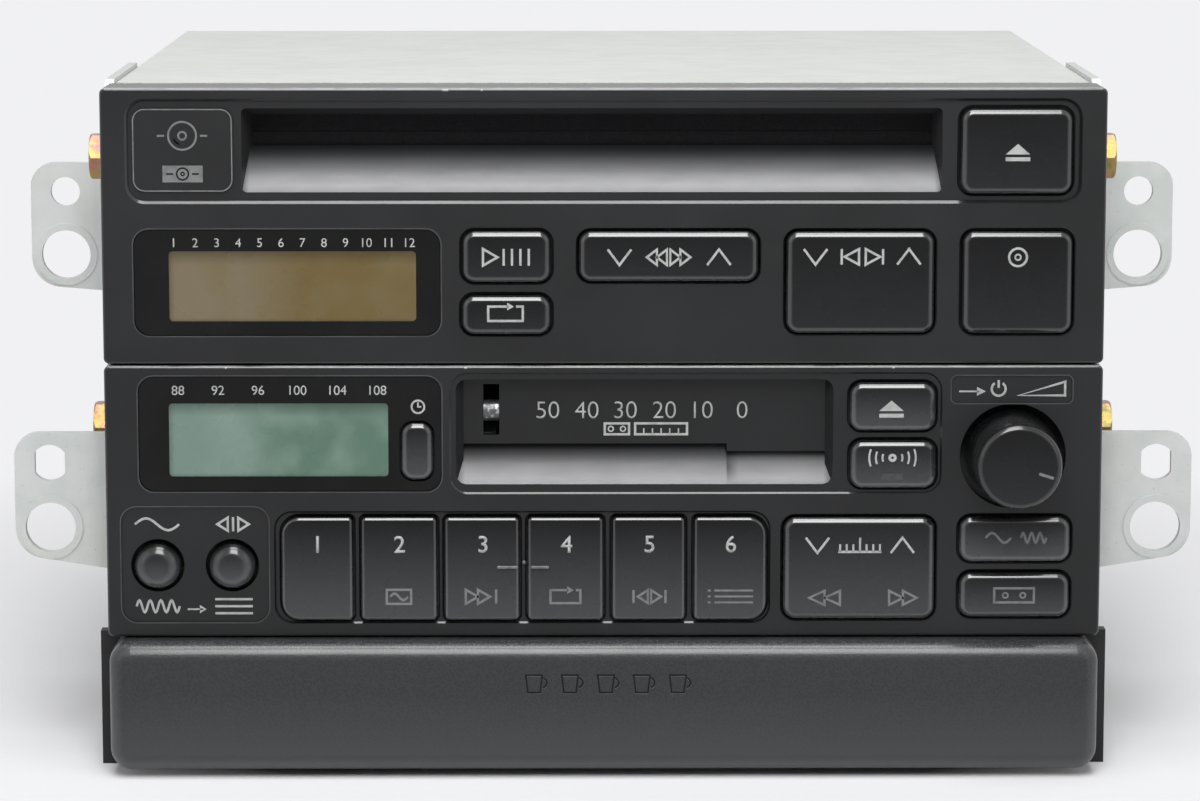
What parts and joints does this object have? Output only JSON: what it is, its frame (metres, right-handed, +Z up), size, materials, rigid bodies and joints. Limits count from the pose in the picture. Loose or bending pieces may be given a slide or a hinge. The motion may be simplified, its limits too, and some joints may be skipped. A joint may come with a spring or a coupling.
{
  "type": "car stereo",
  "caption": "Car audio stack: slot-loading disc deck over a cassette receiver over a pull-out cup holder, held by side brackets with mounting ears.",
  "frame": {"origin": "middle of the bounding box's foot print, at the underside of the cup holder's housing", "axes": "+X to the right seen from the front, +Y from the front panel to the back, +Z up"},
  "size_m": [0.216, 0.19, 0.1254],
  "materials": {
    "panel_plastic": "moulded black plastic with a fine satin texture",
    "key_plastic": "satin black keys",
    "smoked_window": "smoked clear plastic, polished",
    "tan_display": "liquid crystal display, tan",
    "green_display": "liquid crystal display, grey green",
    "galvanised_steel": "zinc coated sheet, dull",
    "turned_steel": "turned and ground",
    "circuit_board": "epoxy board with green lacquer",
    "roller_rubber": "ground black rubber",
    "mechanism_plastic": "black moulded plastic",
    "pickup_metal": "die cast",
    "sink_aluminium": "extruded, bare",
    "socket_plastic": "black nylon",
    "housing_plastic": "black plastic",
    "grained_plastic": "dark grey plastic with a leather grain",
    "yellow_zinc": "yellow chromated steel, iridescent"
  },
  "bodies": {
    "stack": {"cd_front_panel": "panel_plastic", "receiver_front_panel": "panel_plastic", "cd_display_window": "smoked_window", "receiver_display_window": "smoked_window", "cd_display_glass": "tan_display", "receiver_display_glass": "green_display", "cd_key_board": "circuit_board", "receiver_key_board": "circuit_board", "cd_main_board": "circuit_board", "receiver_main_board": "circuit_board", "cd_chassis": "galvanised_steel", "receiver_chassis": "galvanised_steel", "cd_top_cover": "galvanised_steel", "receiver_top_cover": "galvanised_steel", "disc_mech_frame": "galvanised_steel", "tape_mech_plate": "galvanised_steel", "left_bracket": "galvanised_steel", "right_bracket": "galvanised_steel", "drive_belt": "roller_rubber", "heat_sink": "sink_aluminium", "rear_sockets": "socket_plastic", "cup_housing": "housing_plastic", "bracket_bolts": "yellow_zinc"},
    "cd_eject_key": {"cd_eject_key": "key_plastic"},
    "cd_scan_key": {"cd_scan_key": "key_plastic"},
    "cd_repeat_key": {"cd_repeat_key": "key_plastic"},
    "cd_source_key": {"cd_source_key": "key_plastic"},
    "tape_eject_key": {"tape_eject_key": "key_plastic"},
    "info_key": {"info_key": "key_plastic"},
    "band_key": {"band_key": "key_plastic"},
    "tape_key": {"tape_key": "key_plastic"},
    "window_key": {"window_key": "key_plastic"},
    "preset_key_1": {"preset_key_1": "key_plastic"},
    "preset_key_2": {"preset_key_2": "key_plastic"},
    "preset_key_3": {"preset_key_3": "key_plastic"},
    "preset_key_4": {"preset_key_4": "key_plastic"},
    "preset_key_5": {"preset_key_5": "key_plastic"},
    "preset_key_6": {"preset_key_6": "key_plastic"},
    "cd_fast_key": {"cd_fast_key": "key_plastic"},
    "cd_track_key": {"cd_track_key": "key_plastic"},
    "tune_key": {"tune_key": "key_plastic"},
    "volume_shaft": {"volume_shaft": "turned_steel"},
    "volume_knob": {"volume_knob": "key_plastic"},
    "bass_shaft": {"bass_shaft": "turned_steel"},
    "bass_knob": {"bass_knob": "key_plastic"},
    "balance_shaft": {"balance_shaft": "turned_steel"},
    "balance_knob": {"balance_knob": "key_plastic"},
    "tape_door": {"tape_door": "key_plastic"},
    "load_roller": {"load_roller": "roller_rubber"},
    "disc_turntable": {"disc_turntable": "mechanism_plastic"},
    "clamp_arm": {"clamp_arm": "galvanised_steel"},
    "optical_pickup": {"optical_pickup": "pickup_metal"},
    "cassette_carrier": {"cassette_carrier": "galvanised_steel"},
    "front_reel_spindle": {"front_reel_spindle": "mechanism_plastic"},
    "rear_reel_spindle": {"rear_reel_spindle": "mechanism_plastic"},
    "capstan_flywheel": {"capstan_flywheel": "turned_steel"},
    "motor_pulley": {"motor_pulley": "mechanism_plastic"},
    "head_plate": {"head_plate": "turned_steel"},
    "pinch_roller": {"pinch_roller": "roller_rubber"},
    "cup_drawer": {"cup_drawer": "grained_plastic"}
  },
  "joints": [
    {"name": "cd_eject_key_push", "type": "slide", "parent": "stack", "child": "cd_eject_key", "axis": [0, 1, 0], "range_m": [0, 0.001], "stiffness_N_per_m": 800},
    {"name": "cd_scan_key_push", "type": "slide", "parent": "stack", "child": "cd_scan_key", "axis": [0, 1, 0], "range_m": [0, 0.001], "stiffness_N_per_m": 800},
    {"name": "cd_repeat_key_push", "type": "slide", "parent": "stack", "child": "cd_repeat_key", "axis": [0, 1, 0], "range_m": [0, 0.001], "stiffness_N_per_m": 800},
    {"name": "cd_source_key_push", "type": "slide", "parent": "stack", "child": "cd_source_key", "axis": [0, 1, 0], "range_m": [0, 0.001], "stiffness_N_per_m": 800},
    {"name": "tape_eject_key_push", "type": "slide", "parent": "stack", "child": "tape_eject_key", "axis": [0, 1, 0], "range_m": [0, 0.001], "stiffness_N_per_m": 800},
    {"name": "info_key_push", "type": "slide", "parent": "stack", "child": "info_key", "axis": [0, 1, 0], "range_m": [0, 0.001], "stiffness_N_per_m": 800},
    {"name": "band_key_push", "type": "slide", "parent": "stack", "child": "band_key", "axis": [0, 1, 0], "range_m": [0, 0.001], "stiffness_N_per_m": 800},
    {"name": "tape_key_push", "type": "slide", "parent": "stack", "child": "tape_key", "axis": [0, 1, 0], "range_m": [0, 0.001], "stiffness_N_per_m": 800},
    {"name": "window_key_push", "type": "slide", "parent": "stack", "child": "window_key", "axis": [0, 1, 0], "range_m": [0, 0.001], "stiffness_N_per_m": 800},
    {"name": "preset_key_1_push", "type": "slide", "parent": "stack", "child": "preset_key_1", "axis": [0, 1, 0], "range_m": [0, 0.001], "stiffness_N_per_m": 800},
    {"name": "preset_key_2_push", "type": "slide", "parent": "stack", "child": "preset_key_2", "axis": [0, 1, 0], "range_m": [0, 0.001], "stiffness_N_per_m": 800},
    {"name": "preset_key_3_push", "type": "slide", "parent": "stack", "child": "preset_key_3", "axis": [0, 1, 0], "range_m": [0, 0.001], "stiffness_N_per_m": 800},
    {"name": "preset_key_4_push", "type": "slide", "parent": "stack", "child": "preset_key_4", "axis": [0, 1, 0], "range_m": [0, 0.001], "stiffness_N_per_m": 800},
    {"name": "preset_key_5_push", "type": "slide", "parent": "stack", "child": "preset_key_5", "axis": [0, 1, 0], "range_m": [0, 0.001], "stiffness_N_per_m": 800},
    {"name": "preset_key_6_push", "type": "slide", "parent": "stack", "child": "preset_key_6", "axis": [0, 1, 0], "range_m": [0, 0.001], "stiffness_N_per_m": 800},
    {"name": "cd_fast_key_rock", "type": "hinge", "parent": "stack", "child": "cd_fast_key", "pos_m": [0.0116, -0.0778, 0.0949], "axis": [0, 0, 1], "range_deg": [-3, 3], "stiffness_Nm_per_rad": 0.1},
    {"name": "cd_track_key_rock", "type": "hinge", "parent": "stack", "child": "cd_track_key", "pos_m": [0.046, -0.0778, 0.0902], "axis": [0, 0, 1], "range_deg": [-3, 3], "stiffness_Nm_per_rad": 0.1},
    {"name": "tune_key_rock", "type": "hinge", "parent": "stack", "child": "tune_key", "pos_m": [0.0462, -0.0778, 0.03805], "axis": [0, 0, 1], "range_deg": [-3, 3], "stiffness_Nm_per_rad": 0.1},
    {"name": "volume_push", "type": "slide", "parent": "stack", "child": "volume_shaft", "axis": [0, 1, 0], "range_m": [0, 0.0015], "stiffness_N_per_m": 900},
    {"name": "volume_turn", "type": "hinge", "parent": "volume_shaft", "child": "volume_knob", "pos_m": [0.0739, -0.082, 0.0585], "axis": [0, 1, 0], "range_deg": [-262, 38]},
    {"name": "bass_pull", "type": "slide", "parent": "stack", "child": "bass_shaft", "axis": [0, -1, 0], "range_m": [0, 0.004]},
    {"name": "bass_turn", "type": "hinge", "parent": "bass_shaft", "child": "bass_knob", "pos_m": [-0.0808, -0.082, 0.0385], "axis": [0, 1, 0], "range_deg": [-150, 150]},
    {"name": "balance_pull", "type": "slide", "parent": "stack", "child": "balance_shaft", "axis": [0, -1, 0], "range_m": [0, 0.004]},
    {"name": "balance_turn", "type": "hinge", "parent": "balance_shaft", "child": "balance_knob", "pos_m": [-0.0673, -0.082, 0.0385], "axis": [0, 1, 0], "range_deg": [-150, 150]},
    {"name": "tape_door_swing", "type": "hinge", "parent": "stack", "child": "tape_door", "pos_m": [0.00735, -0.0775, 0.0733], "axis": [1, 0, 0], "range_deg": [0, 88], "stiffness_Nm_per_rad": 0.0006},
    {"name": "load_roller_spin", "type": "hinge", "parent": "stack", "child": "load_roller", "pos_m": [-0.0021, -0.0615, 0.1114], "axis": [1, 0, 0], "continuous": true},
    {"name": "disc_spin", "type": "hinge", "parent": "stack", "child": "disc_turntable", "pos_m": [-0.0021, 0.008, 0.1144], "axis": [0, 0, 1], "continuous": true},
    {"name": "clamp_swing", "type": "hinge", "parent": "stack", "child": "clamp_arm", "pos_m": [-0.0021, 0.074, 0.1214], "axis": [1, 0, 0], "range_deg": [0, 3.7]},
    {"name": "pickup_slide", "type": "slide", "parent": "stack", "child": "optical_pickup", "axis": [1, 0, 0], "range_m": [0, 0.0345]},
    {"name": "carrier_drop", "type": "slide", "parent": "stack", "child": "cassette_carrier", "axis": [0, 0, -1], "range_m": [0, 0.0055]},
    {"name": "front_reel_spin", "type": "hinge", "parent": "stack", "child": "front_reel_spindle", "pos_m": [0.0048, -0.04475, 0.0584], "axis": [0, 0, 1], "continuous": true},
    {"name": "rear_reel_spin", "type": "hinge", "parent": "stack", "child": "rear_reel_spindle", "pos_m": [0.0048, -0.00225, 0.0584], "axis": [0, 0, 1], "continuous": true},
    {"name": "flywheel_spin", "type": "hinge", "parent": "stack", "child": "capstan_flywheel", "pos_m": [0.0325, 0.006, 0.0384], "axis": [0, 0, 1], "continuous": true},
    {"name": "pulley_spin", "type": "hinge", "parent": "stack", "child": "motor_pulley", "pos_m": [-0.005, 0.05, 0.0384], "axis": [0, 0, 1], "continuous": true},
    {"name": "head_plate_slide", "type": "slide", "parent": "stack", "child": "head_plate", "axis": [-1, 0, 0], "range_m": [0, 0.0048]},
    {"name": "pinch_roller_spin", "type": "hinge", "parent": "head_plate", "child": "pinch_roller", "pos_m": [0.0426, 0.006, 0.0494], "axis": [0, 0, 1], "continuous": true},
    {"name": "cup_drawer_slide", "type": "slide", "parent": "stack", "child": "cup_drawer", "axis": [0, -1, 0], "range_m": [0, 0.095]}
  ],
  "couplings": [
    {"joint": "pulley_spin", "follows": "flywheel_spin", "ratio": 3.75}
  ]
}
